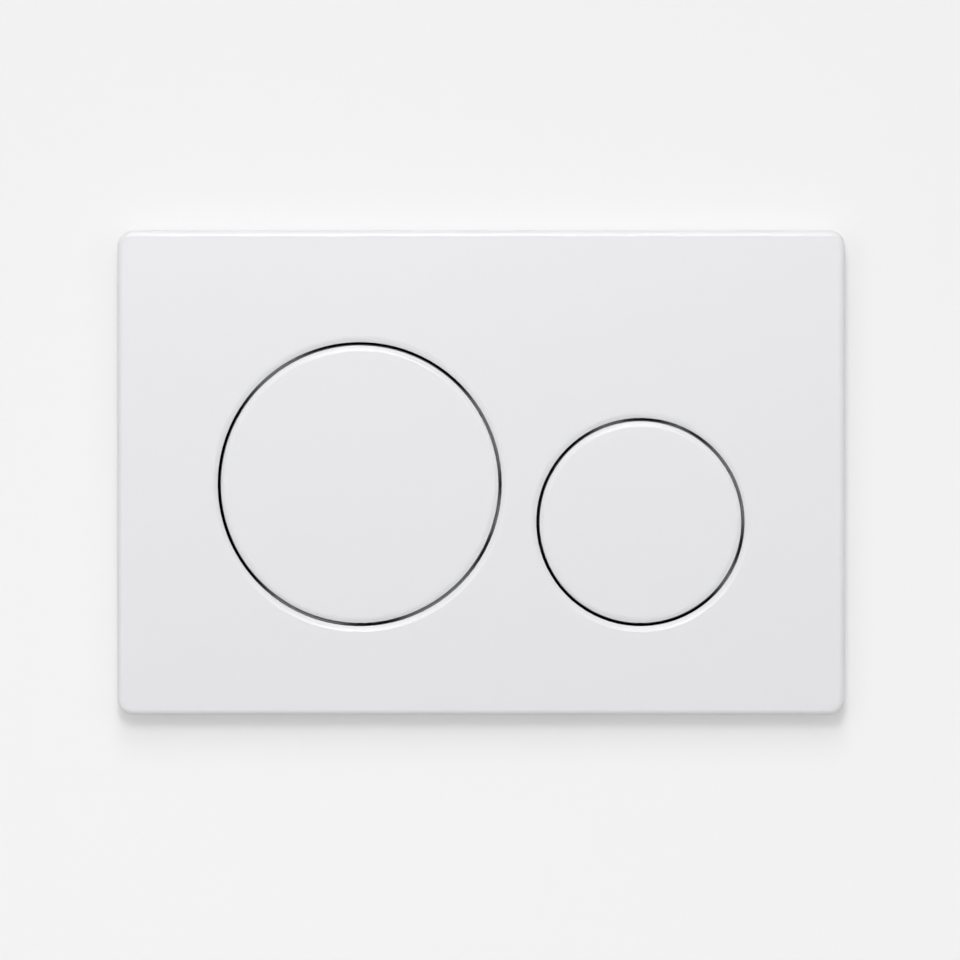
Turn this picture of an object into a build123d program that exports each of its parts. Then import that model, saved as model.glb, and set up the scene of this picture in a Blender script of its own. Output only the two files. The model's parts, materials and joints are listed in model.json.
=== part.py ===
from build123d import *

import os

# Dual-flush button plate for a concealed cistern, in millimetres.
# Every piece is modelled as the plate lies on its back on a bench: X to the right, Y up the wall and
# Z out of the wall into the room, with Z = 0 on the finished wall at the middle of the plate.
# write() then stands each piece up, so that in the files Z is up and Y points into the wall.

# Front plate, a moulded cover whose rim meets the wall
plate_width = 246.0
plate_height = 164.0
plate_depth = 12.0
plate_corner_radius = 5.5
face_wall = 2.5
side_wall = 2.2
side_draft = 1.0
edge_radius = 2.0
collar_wall = 1.6
collar_depth = 3.5
gusset_pitch = 30.0
gusset_wall = 1.2
gusset_length = 6.0
gusset_end_gap = 2.5

# Apertures, side by side in the middle of the plate, on one line above its lower edge
full_aperture_diameter = 96.0
half_aperture_diameter = 70.4
aperture_gap = 11.6
aperture_bottom_margin = 30.1

# Soft bevel that the apertures and the buttons share, so that the plate and the button dip to the ring
bevel_width = 1.3
bevel_depth = 0.8
bevel_round = 2.5

# Trim rings, dropped in from behind and trapped by the carrier's wells
ring_wall = 0.85
ring_edge_radius = 0.05
ring_fit = 0.05
ring_recess = 0.1
ring_depth = 6.0
ring_skirt_wall = 1.4
ring_flange_width = 2.6
ring_flange_thickness = 1.2

# Buttons, which slide straight into the wall
button_gap = 0.25
button_travel = 5.0
cap_wall = 2.4
skirt_wall = 1.8
skirt_depth = 5.5
button_rib_wall = 1.4
button_rib_height = 2.0
stem_radius = 6.0
stem_reach = 10.0
leg_width = 8.0
leg_wall = 2.4
leg_inset = 5.0
hook_overlap = 1.5
hook_height = 3.0
hook_tip_height = 1.0
hook_gap = 0.15

# Carrier behind the plate, with a well, a guide sleeve and a spring cup for each button
carrier_step = 2.0
carrier_corner_radius = 6.0
floor_wall = 2.0
well_gap = 0.3
well_wall = 2.0
guide_clearance = 0.1
sleeve_wall = 1.9
sleeve_head_gap = 1.6
cup_gap = 4.0
cup_wall = 1.5
cup_depth = 6.0
cup_round = 1.0
window_gap = 0.3
carrier_rib_wall = 1.4
carrier_rib_tip_height = 1.2

# Return springs and rubber stop pads
spring_wire = 1.2
spring_turns = 4.0
spring_seat_gap = 0.05
pad_radius = 1.8
pad_height = 1.4
pad_stop_gap = 0.1
pad_wall_gap = 0.15
pad_glue = 0.05

# Screws that hold the carrier to the plate's posts
screw_inset = 6.0
screw_radius = 1.5
screw_length = 8.0
screw_head_radius = 2.9
screw_head_height = 2.0
screw_head_round = 1.0
screw_cross_length = 3.4
screw_cross_width = 0.8
screw_cross_depth = 1.1
screw_seat_rise = 2.4
screw_hole_gap = 0.2
post_radius = 3.6

# Push rods, each with a lock nut and a foot
rod_radius = 3.0
rod_fit = 0.05
rod_engagement = 12.0
rod_length = 54.0
rod_chamfer = 0.5
lock_nut_across_flats = 11.0
lock_nut_height = 4.0
nut_chamfer = 0.6
foot_radius = 6.0
foot_length = 9.0
foot_round = 3.0
foot_socket = 6.0

# Mounting frame behind the carrier, and the studs that fix it to the cistern
frame_side_reach = 11.0
frame_end_reach = 12.1
frame_corner_radius = 8.0
frame_depth = 8.0
frame_gap = 0.2
rail_width = 16.0
frame_wall = 2.0
frame_edge_radius = 0.6
pocket_pitch = 28.0
latch_width = 10.0
latch_wall = 1.8
latch_flex = 2.0
lug_length = 22.0
stud_radius = 4.0
stud_length = 42.0
stud_chamfer = 0.7
stud_collar_radius = 8.0
stud_collar_height = 2.5
stud_collar_round = 0.5
stud_neck_radius = 3.0
neck_gap = 0.1
cap_nut_across_flats = 11.0
cap_nut_height = 3.6
cap_nut_slot_width = 1.6
cap_nut_slot_depth = 0.9
cap_nut_recess = 4.0
cap_nut_gap = 0.6

# Heights along Z, worked out from the sizes above
face_back = plate_depth - face_wall
ring_crest = plate_depth - bevel_depth - ring_recess
ring_end = ring_crest - ring_depth
cap_back = plate_depth - cap_wall
skirt_end = plate_depth - skirt_depth
pad_base = skirt_end - button_travel - pad_stop_gap - pad_height
floor_front = pad_base - pad_glue
floor_back = floor_front - floor_wall
hook_catch = floor_back - hook_gap
leg_end = hook_catch - hook_height
cup_floor = floor_front - cup_depth
cup_end = cup_floor - cup_wall
sleeve_head = cap_back - button_travel - sleeve_head_gap
stem_end = floor_front - stem_reach
screw_seat = floor_front + screw_seat_rise - floor_wall
post_end = floor_front + screw_seat_rise
rod_top = stem_end + rod_engagement
rod_end = rod_top - rod_length
frame_front = floor_back - frame_gap
frame_back = frame_front - frame_depth
nut_seat = frame_front - cap_nut_recess
stud_end = frame_back - stud_collar_height - stud_length

# Radii and places worked out from the sizes above
sleeve_radius = stem_radius + guide_clearance + sleeve_wall
cup_radius = sleeve_radius + cup_gap
spring_radius = (sleeve_radius + cup_radius) / 2
pair_width = full_aperture_diameter + aperture_gap + half_aperture_diameter
pair_bottom = aperture_bottom_margin - plate_height / 2
pair_top = pair_bottom + max(full_aperture_diameter, half_aperture_diameter)
frame_width = pair_width + 2 * frame_side_reach
frame_height = 2 * (max(pair_top, -pair_bottom) + frame_end_reach)
window_width = frame_width - 2 * rail_width
window_height = frame_height - 2 * rail_width
carrier_width = frame_width - 2 * carrier_step
carrier_height = frame_height - 2 * carrier_step
stud_offset = (frame_width - rail_width) / 2
latch_offset_x = 1.5 * pocket_pitch
latch_offset_y = (frame_height - rail_width) / 2
leg_angles = (90, 210, 330)
rib_angles = (30, 150, 270)


class Button:
    """Where one button sits on the plate, and the radii that follow from its aperture."""

    def __init__(self, name, aperture_diameter, side):
        self.name = name
        self.aperture_radius = aperture_diameter / 2
        self.x = side * (pair_width / 2 - self.aperture_radius)
        self.y = pair_bottom + self.aperture_radius
        self.place = Pos(self.x, self.y)
        self.bore_radius = self.aperture_radius - ring_fit - ring_wall
        self.flange_radius = self.aperture_radius + ring_flange_width
        self.cap_radius = self.bore_radius - button_gap
        self.skirt_bore = self.cap_radius - skirt_wall
        self.well_bore = self.bore_radius + well_gap
        self.leg_outside = self.skirt_bore - leg_inset
        self.leg_inside = self.leg_outside - leg_wall


full_flush = Button("full_flush", full_aperture_diameter, side=-1)
half_flush = Button("half_flush", half_aperture_diameter, side=1)
buttons = (full_flush, half_flush)


def between(outline, low, high):
    """An outline in the XY plane, extruded from one height to another."""
    return extrude(Pos(0, 0, low) * outline, high - low)


def disc(radius, low, high):
    return between(Circle(radius), low, high)


def tube(outer_radius, inner_radius, low, high):
    return between(Circle(outer_radius) - Circle(inner_radius), low, high)


def hex_nut(across_flats, bore_radius, low, high):
    """A hexagonal nut with its corners turned off at both ends."""
    blank = disc(across_flats / 3**0.5, low, high)
    blank = chamfer(blank.edges().filter_by(GeomType.CIRCLE), nut_chamfer)
    hexagon = RegularPolygon(across_flats / 2, 6, major_radius=False)
    return (blank & between(hexagon, low, high)) - disc(bore_radius, low, high)


def around(piece, angles):
    """Copies of a piece turned about Z."""
    return [Rot(0, 0, angle) * piece for angle in angles]


def spoke_between(start, end, wall, low, high):
    """A radial rib along X, from one radius to another."""
    outline = Pos((start + end) / 2, 0) * Rectangle(end - start, wall)
    return between(outline, low, high)


def side_profile(points, width):
    """A closed outline in the XZ plane, given as (x, z) points, extruded to both sides of that plane."""
    outline = make_face(Polyline([(x, 0, z) for x, z in points], close=True))
    return extrude(outline, width / 2, both=True)


def screw_places():
    """The carrier's four corner screws, and one above and one below the space between the wells."""
    reach_x = carrier_width / 2 - screw_inset
    reach_y = carrier_height / 2 - screw_inset
    full_side = full_flush.x + full_flush.aperture_radius
    half_side = half_flush.x - half_flush.aperture_radius
    middle = (full_side + half_side) / 2
    return [Pos(x, y) for x in (-reach_x, middle, reach_x) for y in (-reach_y, reach_y)]


def rim_gussets():
    """Short fins that brace the plate's rim against its face, evenly spaced along each side."""
    fins = []
    for length, across, turn in (
        (plate_width, plate_height, 0),
        (plate_height, plate_width, 90),
    ):
        count = int((length - gusset_pitch) / gusset_pitch)
        root = across / 2 - side_wall / 2
        fin = between(
            Rectangle(gusset_wall, gusset_length), gusset_end_gap, face_back
        )
        for i in range(count):
            along = (i - (count - 1) / 2) * gusset_pitch
            for end in (-1, 1):
                place = Pos(along, end * (root - gusset_length / 2))
                fins.append(Rot(0, 0, turn) * place * fin)
    return fins


def soft_bevel(solid):
    """Bevels the round edges of a solid's front face, and rounds the bevels into that face."""
    face = solid.faces().sort_by(Axis.Z)[-1]
    rims = [edge for edge in face.edges() if edge.is_closed]
    solid = chamfer(rims, bevel_width, bevel_depth, reference=face)
    face = solid.faces().sort_by(Axis.Z)[-1]
    rims = [edge for edge in face.edges() if edge.is_closed]
    return fillet(rims, bevel_round)


def front_plate():
    shell = extrude(
        RectangleRounded(plate_width, plate_height, plate_corner_radius),
        plate_depth,
        taper=side_draft,
    )
    shell = fillet(shell.faces().sort_by(Axis.Z)[-1].edges(), edge_radius)
    for button in buttons:
        shell -= button.place * disc(button.aperture_radius, 0, plate_depth)
    shell = soft_bevel(shell)
    cavity = RectangleRounded(
        plate_width - 2 * side_wall,
        plate_height - 2 * side_wall,
        plate_corner_radius - side_wall,
    )
    shell -= extrude(cavity, face_back, taper=side_draft)
    for button in buttons:
        collar_bore = button.flange_radius + ring_fit
        shell += button.place * tube(
            collar_bore + collar_wall, collar_bore, face_back - collar_depth, face_back
        )
    for fin in rim_gussets():
        shell += fin
    for place in screw_places():
        shell += place * disc(post_radius, post_end, face_back)
        shell -= place * disc(screw_radius, post_end, face_back)
    return shell


def trim_ring(button):
    """A bright lip that rises through the aperture, a flange behind the face and a skirt in the well."""
    bore = button.bore_radius
    lip = tube(bore + ring_wall, bore, ring_end, ring_crest)
    lip = fillet(lip.faces().sort_by(Axis.Z)[-1].edges(), ring_edge_radius)
    flange_end = face_back - ring_flange_thickness
    flange = tube(button.flange_radius, bore, flange_end, face_back)
    skirt = tube(bore + ring_skirt_wall, bore, ring_end, flange_end)
    return button.place * (lip + flange + skirt)


def retaining_leg(button):
    """A springy leg that drops through the carrier's floor and hooks behind it."""
    outside = button.leg_outside
    inside = button.leg_inside
    hook_tip = outside + hook_overlap
    hook_nose = hook_catch - hook_tip_height
    return side_profile(
        [
            (inside, cap_back),
            (outside, cap_back),
            (outside, hook_catch),
            (hook_tip, hook_catch),
            (hook_tip, hook_nose),
            (outside, leg_end),
            (inside, leg_end),
        ],
        leg_width,
    )


def push_button(button):
    cap = disc(button.cap_radius, skirt_end, plate_depth)
    cap = soft_bevel(cap)
    cap -= disc(button.skirt_bore, skirt_end, cap_back)
    rib_end = cap_back - button_rib_height
    spring_rib = tube(cup_radius + button_rib_wall, cup_radius, rib_end, cap_back)
    spoke = spoke_between(
        cup_radius + button_rib_wall / 2,
        button.skirt_bore + skirt_wall / 2,
        button_rib_wall,
        rib_end,
        cap_back,
    )
    cap += [spring_rib, *around(spoke, rib_angles)]
    cap += around(retaining_leg(button), leg_angles)
    cap += disc(stem_radius, stem_end, cap_back)
    cap -= disc(rod_radius + rod_fit, stem_end, rod_top)
    return button.place * cap


def carrier_latch():
    """A latch on the carrier's back that hooks behind the web of the frame's upper rail."""
    catch = frame_front - frame_wall - hook_gap
    latch_end = catch - hook_height
    outside = latch_wall / 2
    profile = side_profile(
        [
            (-outside, floor_back),
            (outside, floor_back),
            (outside, catch),
            (outside + hook_overlap, catch),
            (outside + hook_overlap, catch - hook_tip_height),
            (outside, latch_end),
            (-outside, latch_end),
        ],
        latch_width,
    )
    return Rot(0, 0, 90) * profile


def latch_places():
    """The four latches, the lower two turned to hook downwards."""
    return [
        Rot(0, 0, turn) * Pos(x, latch_offset_y)
        for turn in (0, 180)
        for x in (-latch_offset_x, latch_offset_x)
    ]


def guide_and_cup():
    """A guide sleeve for the button's stem, standing in a cup that seats the return spring."""
    bore = stem_radius + guide_clearance
    cup = disc(cup_radius + cup_wall, cup_end, floor_back)
    cup = fillet(cup.faces().sort_by(Axis.Z)[0].edges(), cup_round)
    cup -= disc(cup_radius, cup_floor, floor_back)
    sleeve = disc(sleeve_radius, cup_end, sleeve_head)
    return cup + sleeve - disc(bore, cup_end, sleeve_head)


def carrier_ribs(button):
    """Webs on the carrier's back that slope from the spring cup's rounded end down to the floor."""
    root = cup_radius + cup_wall / 2
    web = side_profile(
        [
            (root, floor_back),
            (root, cup_end + cup_round),
            (button.leg_inside, floor_back - carrier_rib_tip_height),
            (button.leg_inside, floor_back),
        ],
        carrier_rib_wall,
    )
    return around(web, rib_angles)


def button_carrier():
    outline = RectangleRounded(carrier_width, carrier_height, carrier_corner_radius)
    carrier = between(outline, floor_back, floor_front)
    for button in buttons:
        well = tube(
            button.well_bore + well_wall, button.well_bore, floor_front, ring_end
        )
        carrier += button.place * well
        carrier -= button.place * disc(cup_radius, floor_back, floor_front)
        carrier += button.place * guide_and_cup()
        for rib in carrier_ribs(button):
            carrier += button.place * rib
        window_inside = button.leg_inside - hook_overlap - window_gap
        window_outside = button.leg_outside + window_gap
        window = spoke_between(
            window_inside,
            window_outside,
            leg_width + 2 * window_gap,
            floor_back,
            floor_front,
        )
        for cut in around(window, leg_angles):
            carrier -= button.place * cut
    for place in screw_places():
        seat_radius = screw_head_radius + screw_hole_gap
        carrier += place * disc(seat_radius + floor_wall, floor_front, post_end)
        carrier -= place * disc(seat_radius, floor_back, screw_seat)
        carrier -= place * disc(screw_radius + screw_hole_gap, screw_seat, post_end)
    for place in latch_places():
        carrier += place * carrier_latch()
    return carrier


def carrier_screws():
    """Six pan-head screws, up through the carrier into the plate's posts."""
    shank_radius = screw_radius - ring_fit
    head_end = screw_seat - screw_head_height
    head = disc(screw_head_radius, head_end, screw_seat)
    head = fillet(head.faces().sort_by(Axis.Z)[0].edges(), screw_head_round)
    slot = Rectangle(screw_cross_length, screw_cross_width)
    head -= around(between(slot, head_end, head_end + screw_cross_depth), (0, 90))
    screw = head + disc(shank_radius, screw_seat, screw_seat + screw_length)
    return [place * screw for place in screw_places()]


def return_spring(button):
    """A compression spring round the guide sleeve, from the cup's floor to the back of the cap."""
    low = cup_floor + spring_seat_gap + spring_wire / 2
    high = cap_back - spring_seat_gap - spring_wire / 2
    pitch = (high - low) / spring_turns
    path = Pos(0, 0, low) * Helix(pitch, high - low, spring_radius)
    coil = sweep((path ^ 0) * Circle(spring_wire / 2), path, is_frenet=True)
    return button.place * coil


def stop_pads(button):
    """Rubber pads that the button's skirt lands on at the end of its travel."""
    reach = button.well_bore - pad_wall_gap - pad_radius
    pad = Pos(reach, 0) * disc(pad_radius, pad_base, pad_base + pad_height)
    return [button.place * copy for copy in around(pad, rib_angles)]


def push_rod(button):
    rod = disc(rod_radius, rod_end, rod_top)
    return button.place * chamfer(rod.edges().filter_by(GeomType.CIRCLE), rod_chamfer)


def lock_nut(button):
    return button.place * hex_nut(
        lock_nut_across_flats, rod_radius + rod_fit, stem_end - lock_nut_height, stem_end
    )


def rod_foot(button):
    """A domed foot on the end of the push rod, which presses the cistern's lever."""
    low = rod_end + foot_socket - foot_length
    foot = disc(foot_radius, low, rod_end + foot_socket)
    foot = fillet(foot.faces().sort_by(Axis.Z)[0].edges(), foot_round)
    foot -= disc(rod_radius + rod_fit, rod_end - rod_fit, rod_end + foot_socket)
    return button.place * foot


def frame_pockets():
    """The hollow back of the frame's rails, less the cross ribs, the ribs that carry on the window's
    sides into the corners, and the solid lugs round the studs."""
    hollow = RectangleRounded(
        frame_width - 2 * frame_wall,
        frame_height - 2 * frame_wall,
        frame_corner_radius - frame_wall,
    )
    hollow -= Rectangle(window_width + 2 * frame_wall, window_height + 2 * frame_wall)
    ribs_each_side = int((window_width - pocket_pitch) / 2 / pocket_pitch)
    for i in range(-ribs_each_side, ribs_each_side + 1):
        hollow -= Pos(i * pocket_pitch, 0) * Rectangle(frame_wall, frame_height)
    hollow -= Rectangle(frame_width, lug_length)
    window_side = (window_width + frame_wall) / 2
    window_end = (window_height + frame_wall) / 2
    for end in (-1, 1):
        hollow -= Pos(end * window_side, 0) * Rectangle(frame_wall, frame_height)
        hollow -= Pos(0, end * window_end) * Rectangle(frame_width, frame_wall)
    return hollow


def mounting_frame():
    window = Rectangle(window_width, window_height)
    outline = RectangleRounded(frame_width, frame_height, frame_corner_radius)
    frame = between(outline - window, frame_back, frame_front)
    frame = fillet(frame.faces().sort_by(Axis.Z)[0].edges(), frame_edge_radius)
    web_back = frame_front - frame_wall
    frame -= between(frame_pockets(), frame_back, web_back)
    slot_low = -latch_wall / 2 - latch_flex
    slot_high = latch_wall / 2 + window_gap
    slot = Pos(0, (slot_low + slot_high) / 2) * between(
        Rectangle(latch_width + 2 * window_gap, slot_high - slot_low),
        web_back,
        frame_front,
    )
    for place in latch_places():
        frame -= place * slot
    recess_radius = cap_nut_across_flats / 3**0.5 + cap_nut_gap
    for side in (-1, 1):
        place = Pos(side * stud_offset, 0)
        frame -= place * disc(recess_radius, nut_seat, frame_front)
        frame -= place * disc(stud_neck_radius + screw_hole_gap, frame_back, nut_seat)
    return frame


def spacer_stud(side):
    """A stud whose collar holds the frame off the cistern, with a neck for the cap nut."""
    collar_end = frame_back - stud_collar_height
    shank = disc(stud_radius, stud_end, collar_end)
    shank = chamfer(shank.faces().sort_by(Axis.Z)[0].edges(), stud_chamfer)
    collar = disc(stud_collar_radius, collar_end, frame_back)
    collar = fillet(collar.edges().filter_by(GeomType.CIRCLE), stud_collar_round)
    neck_end = nut_seat + cap_nut_height - cap_nut_slot_depth - neck_gap
    neck = disc(stud_neck_radius, frame_back, neck_end)
    return Pos(side * stud_offset, 0) * (shank + collar + neck)


def cap_nut(side):
    """A nut in the frame's recess, slotted for a screwdriver."""
    nut_top = nut_seat + cap_nut_height
    nut = hex_nut(cap_nut_across_flats, stud_neck_radius + rod_fit, nut_seat, nut_top)
    slot = Rectangle(2 * cap_nut_across_flats, cap_nut_slot_width)
    nut -= between(slot, nut_top - cap_nut_slot_depth, nut_top)
    return Pos(side * stud_offset, 0) * nut


def write(name, *pieces):
    """Stands a piece, or a group of like pieces, up against the wall and writes it under its name."""
    solids = [Rot(90, 0, 0) * piece.solid() for piece in pieces]
    export_step(Compound(solids), f"parts/{name}.step")


os.makedirs("parts", exist_ok=True)
write("front_plate", front_plate())
write("button_carrier", button_carrier())
write("carrier_screws", *carrier_screws())
write("mounting_frame", mounting_frame())
for side, name in ((-1, "left"), (1, "right")):
    write(f"{name}_spacer_stud", spacer_stud(side))
    write(f"{name}_cap_nut", cap_nut(side))
for button in buttons:
    write(f"{button.name}_trim_ring", trim_ring(button))
    write(f"{button.name}_button", push_button(button))
    write(f"{button.name}_spring", return_spring(button))
    write(f"{button.name}_stop_pads", *stop_pads(button))
    write(f"{button.name}_push_rod", push_rod(button))
    write(f"{button.name}_lock_nut", lock_nut(button))
    write(f"{button.name}_rod_foot", rod_foot(button))
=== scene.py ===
import json
import math

import bmesh
import bpy
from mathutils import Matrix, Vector

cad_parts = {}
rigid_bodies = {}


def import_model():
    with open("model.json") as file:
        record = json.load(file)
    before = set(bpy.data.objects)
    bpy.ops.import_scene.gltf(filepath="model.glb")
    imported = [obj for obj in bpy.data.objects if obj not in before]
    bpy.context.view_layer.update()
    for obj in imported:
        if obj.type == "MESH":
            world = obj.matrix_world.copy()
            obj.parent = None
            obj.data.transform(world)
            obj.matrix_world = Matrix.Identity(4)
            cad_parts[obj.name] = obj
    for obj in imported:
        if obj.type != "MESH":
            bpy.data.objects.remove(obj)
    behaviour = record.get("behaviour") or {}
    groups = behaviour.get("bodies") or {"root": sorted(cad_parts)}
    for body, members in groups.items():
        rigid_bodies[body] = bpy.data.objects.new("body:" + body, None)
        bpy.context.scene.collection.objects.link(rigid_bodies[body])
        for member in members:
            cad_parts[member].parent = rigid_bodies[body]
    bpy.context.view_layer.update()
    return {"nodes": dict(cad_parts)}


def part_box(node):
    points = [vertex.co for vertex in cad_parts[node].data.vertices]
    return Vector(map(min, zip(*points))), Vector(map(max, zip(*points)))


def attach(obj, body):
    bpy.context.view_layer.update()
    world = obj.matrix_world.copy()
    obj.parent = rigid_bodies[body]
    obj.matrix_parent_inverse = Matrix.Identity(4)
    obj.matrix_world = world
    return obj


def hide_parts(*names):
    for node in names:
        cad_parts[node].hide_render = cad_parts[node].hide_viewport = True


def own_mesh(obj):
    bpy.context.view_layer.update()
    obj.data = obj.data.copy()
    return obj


# Looks for the flush button plate: X is right, Z is up and Y points into the wall, in metres.
MM = 0.001

# Camera, square to the plate like the photograph's, which has the plate a few pixels off its middle
image_pixels = 960
pixels_per_mm = 2.955
plate_right_of_middle = 1.1
plate_above_middle = 7.4
camera_distance = 2.4
camera_clip_end = 60.0
sensor_width = 36.0

# Studs and push rods, whose threads the solids leave plain
stud_radius = 4.0 * MM
stud_neck_radius = 3.0 * MM
stud_collar_height = 2.5 * MM
stud_collar_round = 0.5 * MM
stud_collar_round_middle = stud_collar_round / 3
rod_pitch = 1.5 * MM
rod_thread_depth = 0.45 * MM
stud_pitch = 2.0 * MM
stud_thread_depth = 0.6 * MM
neck_pitch = 1.0 * MM
neck_thread_depth = 0.35 * MM

# Steepness of a thread's flanks: above 0.5, its crest and its root are flat
thread_flank = 0.8

# Return springs, which are coils in the CAD too, where they can't shorten
spring_wire = 1.2 * MM
spring_turns = 4.0

# Fineness of the new meshes
thread_sides = 36
thread_rings_per_turn = 9
collar_sides = 72
wire_sides = 12
wire_rings_per_turn = 48
wall_corner_steps = 12

# Noise in the materials: its usual range, its detail and the size of its features
noise_low = 0.3
noise_high = 0.7
plain_detail = 2.0
gloss_detail = 3.0
mark_detail = 4.0
plastic_flow_mm = 22.0
plastic_gloss_mm = 5.0
metal_tone_mm = 4.0

# Plastics and rubber, with linear colours. The mould's grain is a bump of that size and depth.
usual_uneven_gloss = 0.03
usual_grain_strength = 0.5
plastics = {
    "white_plastic": dict(
        colour=(0.767, 0.767, 0.782),
        drift=0.002,
        roughness=0.31,
        uneven_gloss=0.006,
        grain_mm=9.0,
        grain_depth_mm=0.02,
        grain_strength=0.05,
    ),
    "carrier_plastic": dict(
        colour=(0.55, 0.56, 0.57),
        drift=0.02,
        roughness=0.45,
        grain_mm=0.6,
        grain_depth_mm=0.03,
        edge_mm=0.4,
    ),
    "frame_plastic": dict(
        colour=(0.16, 0.20, 0.25),
        drift=0.05,
        roughness=0.5,
        grain_mm=0.5,
        grain_depth_mm=0.04,
        edge_mm=0.5,
    ),
    "fitting_plastic": dict(
        colour=(0.08, 0.17, 0.32),
        drift=0.04,
        roughness=0.42,
        grain_mm=0.6,
        grain_depth_mm=0.02,
        edge_mm=0.4,
    ),
    "rod_plastic": dict(
        colour=(0.72, 0.71, 0.67), drift=0.02, roughness=0.38, grain_mm=0.8, grain_depth_mm=0.02
    ),
    "stud_plastic": dict(
        colour=(0.30, 0.31, 0.32), drift=0.05, roughness=0.48, grain_mm=0.5, grain_depth_mm=0.03
    ),
    "pad_rubber": dict(
        colour=(0.03, 0.03, 0.03), drift=0.1, roughness=0.8, grain_mm=0.4, grain_depth_mm=0.03
    ),
}

# Metals, with linear colours. Fine marks make the gloss smoother and rougher by these factors.
mark_smoother = 0.7
mark_rougher = 1.4
metals = {
    "dark_plating": dict(colour=(0.36, 0.36, 0.37), drift=0.02, roughness=0.03, mark_mm=1.2),
    "zinc_plate": dict(colour=(0.55, 0.55, 0.54), drift=0.06, roughness=0.3, mark_mm=0.5),
    "spring_wire": dict(colour=(0.50, 0.50, 0.50), drift=0.05, roughness=0.22, mark_mm=0.4),
}

# Stage: a wall that reaches just under the plate's rim, and a floor well below
stage_reach = 6.0
floor_level = -2.0
wall_gap = 0.05 * MM
wall_overlap = 0.05 * MM
plate_corner_radius = 5.5 * MM
wall_paint_low = 0.71
wall_paint_high = 0.623
floor_paint = 0.85
paint_roughness = 0.9
paint_specular = 0.1

# Room, wall, floor and reflection cards, as strengths of white
white = (1, 1, 1, 1)
room_light = 0.428
room_seen = 0.9
wall_glow = 0.2
floor_glow = 0.42
pale_card_glow = 0.46

# Dark card behind the camera, with pale cards that each ring reflects as grey arcs: (angle, half width)
card_distance = 5.0
card_reach = 20.0
pale_card_gap = 0.05
pale_card_fade = 0.3
grey_arcs = {
    "full_flush_button": ((22, 20), (126, 15), (247, 20), (306, 21), (348, 10)),
    "half_flush_button": ((22, 30), (69, 8), (108, 10), (328, 11)),
}

# Softboxes, with their width and height. Level ones face straight along Y, the others face the plate.
softboxes = {
    "front_fill": dict(place=(0.0, -3.2, 0.0), size=(0.3, 0.3), watts=9.8, in_reflections=False),
    "key_softbox": dict(place=(-0.06, -1.8, 0.68), size=(0.32, 0.45), watts=10.2, level=True),
    "upper_softbox": dict(place=(-0.06, -1.8, 1.3), size=(1.3, 0.8), watts=7.7, level=True),
    "high_softbox": dict(place=(-0.06, -1.8, 2.35), size=(0.7, 1.3), watts=18.0, level=True),
    "upper_left_softbox": dict(place=(-0.6, -1.2, 0.9), size=(0.6, 0.6), watts=0.3),
    "left_softbox": dict(place=(-0.45, -0.85, 0.05), size=(0.25, 0.7), watts=0.7),
    "right_fill": dict(place=(0.6, -0.9, 0.1), size=(0.4, 0.5), watts=0.5, in_reflections=False),
    "left_rear_softbox": dict(place=(-0.9, 1.8, 1.2), size=(1.2, 1.2), watts=26.0),
    "right_rear_softbox": dict(place=(0.9, 1.8, 1.2), size=(1.2, 1.2), watts=26.0),
}

view_width = image_pixels / pixels_per_mm * MM
camera_x = -plate_right_of_middle / pixels_per_mm * MM
camera_z = -plate_above_middle / pixels_per_mm * MM

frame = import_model()
nodes = frame["nodes"]
scene = bpy.context.scene
scene.view_settings.view_transform = "Standard"


def material_with(name):
    """A new material, its node tree and its Principled shader."""
    made = bpy.data.materials.new(name)
    made.use_nodes = True
    return made, made.node_tree, made.node_tree.nodes["Principled BSDF"]


def noise(tree, feature_mm, detail=plain_detail):
    """Noise fixed to the object, with features of about that size."""
    coordinates = tree.nodes.new("ShaderNodeTexCoord")
    texture = tree.nodes.new("ShaderNodeTexNoise")
    texture.inputs["Scale"].default_value = 1 / (feature_mm * MM)
    texture.inputs["Detail"].default_value = detail
    tree.links.new(coordinates.outputs["Object"], texture.inputs["Vector"])
    return texture.outputs["Fac"]


def mapped(tree, value, low, high, start=0.0, end=1.0):
    """A value that runs from low to high while another runs from start to end."""
    node = tree.nodes.new("ShaderNodeMapRange")
    node.inputs["From Min"].default_value = start
    node.inputs["From Max"].default_value = end
    node.inputs["To Min"].default_value = low
    node.inputs["To Max"].default_value = high
    tree.links.new(value, node.inputs["Value"])
    return node.outputs["Result"]


def mottled(tree, value, colour, drift):
    """A colour that drifts a little darker and lighter with a noise value."""
    ramp = tree.nodes.new("ShaderNodeValToRGB")
    darker, lighter = ramp.color_ramp.elements
    darker.position = noise_low
    darker.color = (*[c * (1 - drift) for c in colour], 1)
    lighter.position = noise_high
    lighter.color = (*[c * (1 + drift) for c in colour], 1)
    tree.links.new(value, ramp.inputs["Fac"])
    return ramp.outputs["Color"]


def bumped(tree, shader, value, depth_mm, strength):
    """Raises the surface by a value."""
    bump = tree.nodes.new("ShaderNodeBump")
    bump.inputs["Strength"].default_value = strength
    bump.inputs["Distance"].default_value = depth_mm * MM
    tree.links.new(value, bump.inputs["Height"])
    tree.links.new(bump.outputs["Normal"], shader.inputs["Normal"])
    return bump


def soft_edges(tree, bump, radius_mm):
    """Shades sharp edges as if they were rounded a little, under the bump."""
    rounded = tree.nodes.new("ShaderNodeBevel")
    rounded.inputs["Radius"].default_value = radius_mm * MM
    tree.links.new(rounded.outputs["Normal"], bump.inputs["Normal"])


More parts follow.
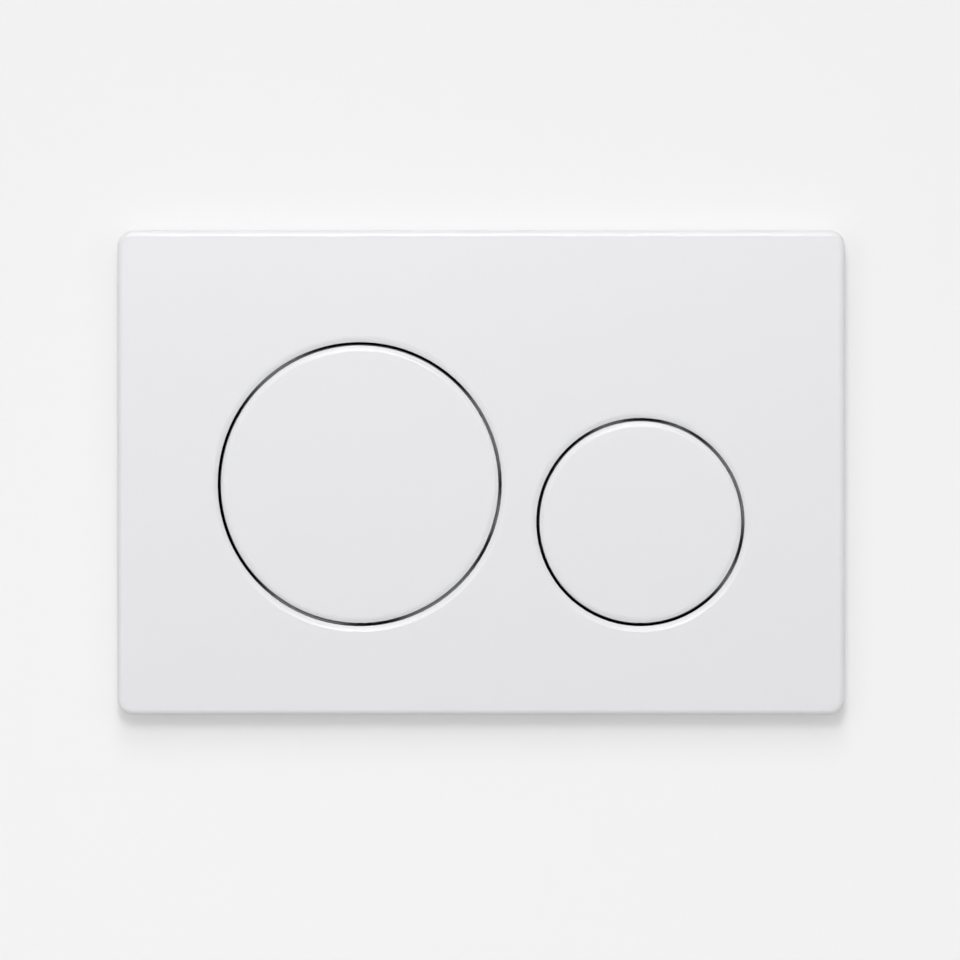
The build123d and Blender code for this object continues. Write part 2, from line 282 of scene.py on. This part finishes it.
def moulded(
    name,
    colour,
    drift,
    roughness,
    grain_mm,
    grain_depth_mm,
    uneven_gloss=usual_uneven_gloss,
    grain_strength=usual_grain_strength,
    edge_mm=0.0,
):
    """Moulded plastic: an almost even colour, a slightly uneven gloss, a grain from the mould and,
    where a radius is given, softened edges."""
    made, tree, shader = material_with(name)
    tone = mottled(tree, noise(tree, plastic_flow_mm), colour, drift)
    tree.links.new(tone, shader.inputs["Base Color"])
    gloss = mapped(
        tree,
        noise(tree, plastic_gloss_mm, gloss_detail),
        roughness - uneven_gloss,
        roughness + uneven_gloss,
        noise_low,
        noise_high,
    )
    tree.links.new(gloss, shader.inputs["Roughness"])
    bump = bumped(tree, shader, noise(tree, grain_mm), grain_depth_mm, grain_strength)
    if edge_mm:
        soft_edges(tree, bump, edge_mm)
    return made


def metal(name, colour, drift, roughness, mark_mm):
    """Bare or plated metal, with fine marks in its gloss."""
    made, tree, shader = material_with(name)
    shader.inputs["Metallic"].default_value = 1.0
    tone = mottled(tree, noise(tree, metal_tone_mm), colour, drift)
    tree.links.new(tone, shader.inputs["Base Color"])
    marks = mapped(
        tree,
        noise(tree, mark_mm, mark_detail),
        roughness * mark_smoother,
        roughness * mark_rougher,
        noise_low,
        noise_high,
    )
    tree.links.new(marks, shader.inputs["Roughness"])
    return made


def dress(material, *names):
    """Gives CAD nodes a material."""
    for name in names:
        mesh = nodes[name].data
        mesh.materials.clear()
        mesh.materials.append(material)


def centre_of(node):
    """The middle of a CAD node's box at rest."""
    low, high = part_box(node)
    return (low + high) / 2


def add_mesh(name, build, material):
    """A new smooth-shaded mesh object, filled in by a function that is given its bmesh."""
    mesh = bpy.data.meshes.new(name)
    shape = bmesh.new()
    build(shape)
    bmesh.ops.recalc_face_normals(shape, faces=shape.faces)
    shape.to_mesh(mesh)
    shape.free()
    mesh.shade_smooth()
    mesh.materials.append(material)
    piece = bpy.data.objects.new(name, mesh)
    scene.collection.objects.link(piece)
    return piece


def stand_in(node, ending, body, build, material):
    """A new piece that rides on a body in place of a CAD node."""
    piece = add_mesh(f"{node}_{ending}", build, material)
    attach(piece, body)
    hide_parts(node)
    return piece


def ring_of(shape, centre, y, radii):
    """A ring of vertices round an axis along Y, one for each radius."""
    ring = []
    for i, radius in enumerate(radii):
        angle = 2 * math.pi * i / len(radii)
        x = centre.x + radius * math.cos(angle)
        z = centre.z + radius * math.sin(angle)
        ring.append(shape.verts.new((x, y, z)))
    return ring


def skin(shape, rings):
    """Faces between rings of vertices, and a cap on the first and the last."""
    for near, far in zip(rings, rings[1:]):
        for i in range(len(near)):
            j = (i + 1) % len(near)
            shape.faces.new((near[i], near[j], far[j], far[i]))
    shape.faces.new(rings[0])
    shape.faces.new(rings[-1])


def thread_radius(turn, radius, depth):
    """The radius of a thread at a share of one turn: a flat crest, flanks and a flat root."""
    cut = 0.5 + thread_flank * math.cos(2 * math.pi * turn)
    return radius - depth * min(1.0, max(0.0, cut))


def add_thread(shape, centre, low, high, radius, pitch, depth):
    """A screw thread along Y, with both ends chamfered by the depth of the thread."""
    count = round((high - low) / pitch * thread_rings_per_turn)
    rings = []
    for i in range(count + 1):
        y = low + (high - low) * i / count
        most = radius - depth + min(y - low, high - y)
        turns = [(y - low) / pitch - k / thread_sides for k in range(thread_sides)]
        radii = [min(most, thread_radius(turn, radius, depth)) for turn in turns]
        rings.append(ring_of(shape, centre, y, radii))
    skin(shape, rings)


def add_turned(shape, centre, profile):
    """A turned form along Y, from (y, radius) points."""
    skin(shape, [ring_of(shape, centre, y, [radius] * collar_sides) for y, radius in profile])


def threaded_rod(node, body, material):
    """A push rod with its thread cut."""
    low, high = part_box(node)
    radius = (high.x - low.x) / 2

    def build(shape):
        add_thread(shape, centre_of(node), low.y, high.y, radius, rod_pitch, rod_thread_depth)

    stand_in(node, "threaded", body, build, material)


def threaded_stud(node, material):
    """A spacer stud: a threaded shank behind the collar, and a finer thread on the neck in front of it."""
    low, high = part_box(node)
    centre = centre_of(node)
    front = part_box("mounting_frame")[1].y
    back = front + stud_collar_height
    radius = (high.x - low.x) / 2
    collar = [
        (front, radius - stud_collar_round),
        (front + stud_collar_round_middle, radius - stud_collar_round_middle),
        (front + stud_collar_round, radius),
        (back - stud_collar_round, radius),
        (back - stud_collar_round_middle, radius - stud_collar_round_middle),
        (back, radius - stud_collar_round),
    ]

    def build(shape):
        add_thread(shape, centre, low.y, front, stud_neck_radius, neck_pitch, neck_thread_depth)
        add_turned(shape, centre, collar)
        add_thread(shape, centre, back, high.y, stud_radius, stud_pitch, stud_thread_depth)

    stand_in(node, "threaded", "wall_assembly", build, material)


def coil_spring(node, material):
    """A return spring as a round wire."""
    low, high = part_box(node)
    centre = centre_of(node)
    wire_radius = spring_wire / 2
    coil_radius = (high.x - low.x) / 2 - wire_radius
    steps = int(spring_turns * wire_rings_per_turn)

    def wire_ring(shape, share):
        """A ring round the wire, at a share of the way from the spring's back to its front."""
        angle = -2 * math.pi * spring_turns * share
        middle = high.y - wire_radius - (high.y - low.y - spring_wire) * share
        ring = []
        for k in range(wire_sides):
            round_wire = 2 * math.pi * k / wire_sides
            radius = coil_radius + wire_radius * math.cos(round_wire)
            x = centre.x + radius * math.cos(angle)
            z = centre.z + radius * math.sin(angle)
            ring.append(shape.verts.new((x, middle + wire_radius * math.sin(round_wire), z)))
        return ring

    def build(shape):
        skin(shape, [wire_ring(shape, i / steps) for i in range(steps + 1)])

    piece = stand_in(node, "wire", "wall_assembly", build, material)
    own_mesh(piece)


def seen_directly(tree):
    """1 for what the camera sees, itself or in metal or glass, and 0 for light on its way to a surface."""
    path = tree.nodes.new("ShaderNodeLightPath")
    reflected = tree.nodes.new("ShaderNodeMath")
    reflected.operation = "ADD"
    tree.links.new(path.outputs["Is Glossy Ray"], reflected.inputs[0])
    tree.links.new(path.outputs["Is Transmission Ray"], reflected.inputs[1])
    seen = tree.nodes.new("ShaderNodeMath")
    seen.operation = "ADD"
    seen.use_clamp = True
    tree.links.new(path.outputs["Is Camera Ray"], seen.inputs[0])
    tree.links.new(reflected.outputs["Value"], seen.inputs[1])
    return seen.outputs["Value"]


def matt_paint(name, glow):
    """A matt paint for the stage, which also glows to the eye but lights nothing."""
    made, tree, shader = material_with(name)
    shader.inputs["Roughness"].default_value = paint_roughness
    shader.inputs["Specular IOR Level"].default_value = paint_specular
    shader.inputs["Emission Color"].default_value = white
    strength = mapped(tree, seen_directly(tree), 0.0, glow)
    tree.links.new(strength, shader.inputs["Emission Strength"])
    return made, tree, shader


def wall_material():
    """A paint that is darker higher up, where more light falls, so that the wall looks even.
    It is seen only from its front, so that the plate's back shows."""
    made, tree, shader = matt_paint("wall_paint", wall_glow)
    coordinates = tree.nodes.new("ShaderNodeTexCoord")
    axes = tree.nodes.new("ShaderNodeSeparateXYZ")
    tree.links.new(coordinates.outputs["Object"], axes.inputs["Vector"])
    view_edge = view_width / 2
    tone = mapped(tree, axes.outputs["Z"], wall_paint_low, wall_paint_high, -view_edge, view_edge)
    tree.links.new(tone, shader.inputs["Base Color"])
    geometry = tree.nodes.new("ShaderNodeNewGeometry")
    clear = tree.nodes.new("ShaderNodeBsdfTransparent")
    mix = tree.nodes.new("ShaderNodeMixShader")
    output = tree.nodes["Material Output"]
    tree.links.new(geometry.outputs["Backfacing"], mix.inputs["Fac"])
    tree.links.new(shader.outputs["BSDF"], mix.inputs[1])
    tree.links.new(clear.outputs["BSDF"], mix.inputs[2])
    tree.links.new(mix.outputs["Shader"], output.inputs["Surface"])
    return made


def floor_material():
    """A plain pale paint, which glows because the lamps are all far above the floor."""
    made, _, shader = matt_paint("floor_paint", floor_glow)
    shader.inputs["Base Color"].default_value = (floor_paint, floor_paint, floor_paint, 1)
    return made


def stage_sheet(name, points, material, faces=((0, 1, 2, 3),)):
    """A flat stage piece, whose faces run anticlockwise as they are seen."""
    mesh = bpy.data.meshes.new(name)
    mesh.from_pydata(points, [], faces)
    mesh.materials.append(material)
    sheet = bpy.data.objects.new(name, mesh)
    scene.collection.objects.link(sheet)
    return sheet


def outline_corner(low, high, corner):
    """Points round one corner of the plate, a little inside its outline. The corners are counted
    anticlockwise from the upper right one."""
    right = corner in (0, 3)
    above = corner in (0, 1)
    x = high.x - plate_corner_radius if right else low.x + plate_corner_radius
    z = high.z - plate_corner_radius if above else low.z + plate_corner_radius
    radius = plate_corner_radius - wall_overlap
    points = []
    for i in range(wall_corner_steps + 1):
        angle = math.radians(90 * (corner + i / wall_corner_steps))
        points.append((x + radius * math.cos(angle), high.y + wall_gap, z + radius * math.sin(angle)))
    return points


def build_wall():
    """A wall with an opening for what is behind the plate, which the plate's rim just covers."""
    low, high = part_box("front_plate")
    back = high.y + wall_gap
    points = [
        (stage_reach, back, stage_reach),
        (-stage_reach, back, stage_reach),
        (-stage_reach, back, floor_level),
        (stage_reach, back, floor_level),
    ]
    corners = len(points)
    faces = []
    for corner in range(corners):
        first = len(points)
        points.extend(outline_corner(low, high, corner))
        last = len(points) - 1
        faces.extend((i, corner, i + 1) for i in range(first, last))
        following = (corner + 1) % corners
        following_first = last + 1 if following else corners
        faces.append((last, corner, following, following_first))
    stage_sheet("wall", points, wall_material(), faces)


def build_floor():
    """A floor well below the plate, in front of the wall."""
    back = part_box("front_plate")[1].y + wall_gap
    points = [
        (-stage_reach, -stage_reach, floor_level),
        (stage_reach, -stage_reach, floor_level),
        (stage_reach, back, floor_level),
        (-stage_reach, back, floor_level),
    ]
    stage_sheet("floor", points, floor_material())


def card_material(name):
    """A card that gives off its own light, with its node tree and its emission node."""
    made, tree, shader = material_with(name)
    tree.nodes.remove(shader)
    glow = tree.nodes.new("ShaderNodeEmission")
    tree.links.new(glow.outputs["Emission"], tree.nodes["Material Output"].inputs["Surface"])
    return made, tree, glow


def only_in_reflections(card):
    """Hides a card from all but the surfaces that mirror it."""
    card.visible_camera = False
    card.visible_diffuse = False
    card.visible_transmission = False
    card.visible_shadow = False


def build_dark_card():
    """A black card far behind the camera, which makes the rings look black."""
    made, _, glow = card_material("dark_card")
    glow.inputs["Strength"].default_value = 0.0
    corners = [
        (-card_reach, -card_distance, -card_reach),
        (-card_reach, -card_distance, card_reach),
        (card_reach, -card_distance, card_reach),
        (card_reach, -card_distance, -card_reach),
    ]
    only_in_reflections(stage_sheet("dark_card", corners, made))


def pale_card_material():
    """Grey in the middle of a round card, fading out towards its rim."""
    made, tree, glow = card_material("pale_card")
    coordinates = tree.nodes.new("ShaderNodeTexCoord")
    fade = tree.nodes.new("ShaderNodeTexGradient")
    fade.gradient_type = "SPHERICAL"
    tree.links.new(coordinates.outputs["Object"], fade.inputs["Vector"])
    strength = mapped(tree, fade.outputs["Fac"], 0.0, pale_card_glow, end=pale_card_fade)
    tree.links.new(strength, glow.inputs["Strength"])
    return made


def build_pale_cards():
    """Round cards in front of the dark one, each where the camera sees one arc of a ring reflect."""
    material = pale_card_material()
    away = card_distance - pale_card_gap
    stretch = 1 + away / camera_distance
    for button, arcs in grey_arcs.items():
        low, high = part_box(button)
        centre = centre_of(button)
        radius = (high.x - low.x) / 2
        for angle, half_width in arcs:
            x = centre.x + radius * math.cos(math.radians(angle))
            z = centre.z + radius * math.sin(math.radians(angle))
            size = radius * math.radians(half_width) * stretch
            card = stage_sheet(
                f"{button}_pale_card_{angle}",
                [(-1, 0, -1), (-1, 0, 1), (1, 0, 1), (1, 0, -1)],
                material,
            )
            card.scale = (size, size, size)
            card.location = (
                camera_x + (x - camera_x) * stretch,
                -away,
                camera_z + (z - camera_z) * stretch,
            )
            only_in_reflections(card)


def add_softbox(name, place, size, watts, level=False, in_reflections=True):
    """A rectangular light that faces the plate's middle or, where it is level, straight along Y."""
    data = bpy.data.lights.new(name, "AREA")
    data.shape = "RECTANGLE"
    data.size, data.size_y = size
    data.energy = watts
    light = bpy.data.objects.new(name, data)
    light.location = place
    x, _, z = place
    target = Vector((x, 0, z)) if level else Vector((0, 0, 0))
    facing = target - Vector(place)
    light.rotation_euler = facing.to_track_quat("-Z", "Y").to_euler()
    light.visible_glossy = in_reflections
    scene.collection.objects.link(light)


def leave_out(names):
    """Keeps the lamps' light off some nodes, which then only mirror the cards and the room."""
    mirrors = bpy.data.collections.new("mirrors")
    for name in names:
        mirrors.objects.link(nodes[name])
    for item in mirrors.collection_objects:
        item.light_linking.link_state = "EXCLUDE"
    for lamp in scene.objects:
        if lamp.type == "LIGHT":
            lamp.light_linking.receiver_collection = mirrors


def build_lights():
    """Softboxes above the camera and to its left, fills in front and at the right, and a pair behind."""
    for name, softbox in softboxes.items():
        add_softbox(name, **softbox)
    leave_out(["full_flush_trim_ring", "half_flush_trim_ring"])


def build_world():
    """A pale room, which the camera and the metal see brighter than it lights the object."""
    world = bpy.data.worlds.new("room")
    scene.world = world
    world.use_nodes = True
    tree = world.node_tree
    background = tree.nodes["Background"]
    background.inputs["Color"].default_value = white
    strength = mapped(tree, seen_directly(tree), room_light, room_seen)
    tree.links.new(strength, background.inputs["Strength"])


def build_camera():
    """Square to the plate, with the photograph's scale at the plate's middle depth."""
    data = bpy.data.cameras.new("camera")
    data.sensor_width = sensor_width
    data.lens = sensor_width * camera_distance / view_width
    data.clip_end = camera_clip_end
    camera = bpy.data.objects.new("camera", data)
    camera.location = (camera_x, centre_of("front_plate").y - camera_distance, camera_z)
    camera.rotation_euler = (math.radians(90), 0, 0)
    scene.collection.objects.link(camera)
    scene.camera = camera


def dress_nodes():
    """Gives every CAD node its material, with new pieces for the threads and the springs."""
    looks = {name: moulded(name, **look) for name, look in plastics.items()}
    looks.update({name: metal(name, **look) for name, look in metals.items()})
    dress(looks["white_plastic"], "front_plate")
    dress(looks["carrier_plastic"], "button_carrier")
    dress(looks["frame_plastic"], "mounting_frame")
    dress(looks["zinc_plate"], "carrier_screws")
    dress(looks["fitting_plastic"], "left_cap_nut", "right_cap_nut")
    for side in ("left", "right"):
        threaded_stud(f"{side}_spacer_stud", looks["stud_plastic"])
    for size in ("full_flush", "half_flush"):
        dress(looks["white_plastic"], f"{size}_button")
        dress(looks["dark_plating"], f"{size}_trim_ring")
        dress(looks["pad_rubber"], f"{size}_stop_pads")
        dress(looks["fitting_plastic"], f"{size}_lock_nut", f"{size}_rod_foot")
        threaded_rod(f"{size}_push_rod", f"{size}_plunger", looks["rod_plastic"])
        coil_spring(f"{size}_spring", looks["spring_wire"])


dress_nodes()
build_wall()
build_floor()
build_dark_card()
build_pale_cards()
build_lights()
build_world()
build_camera()
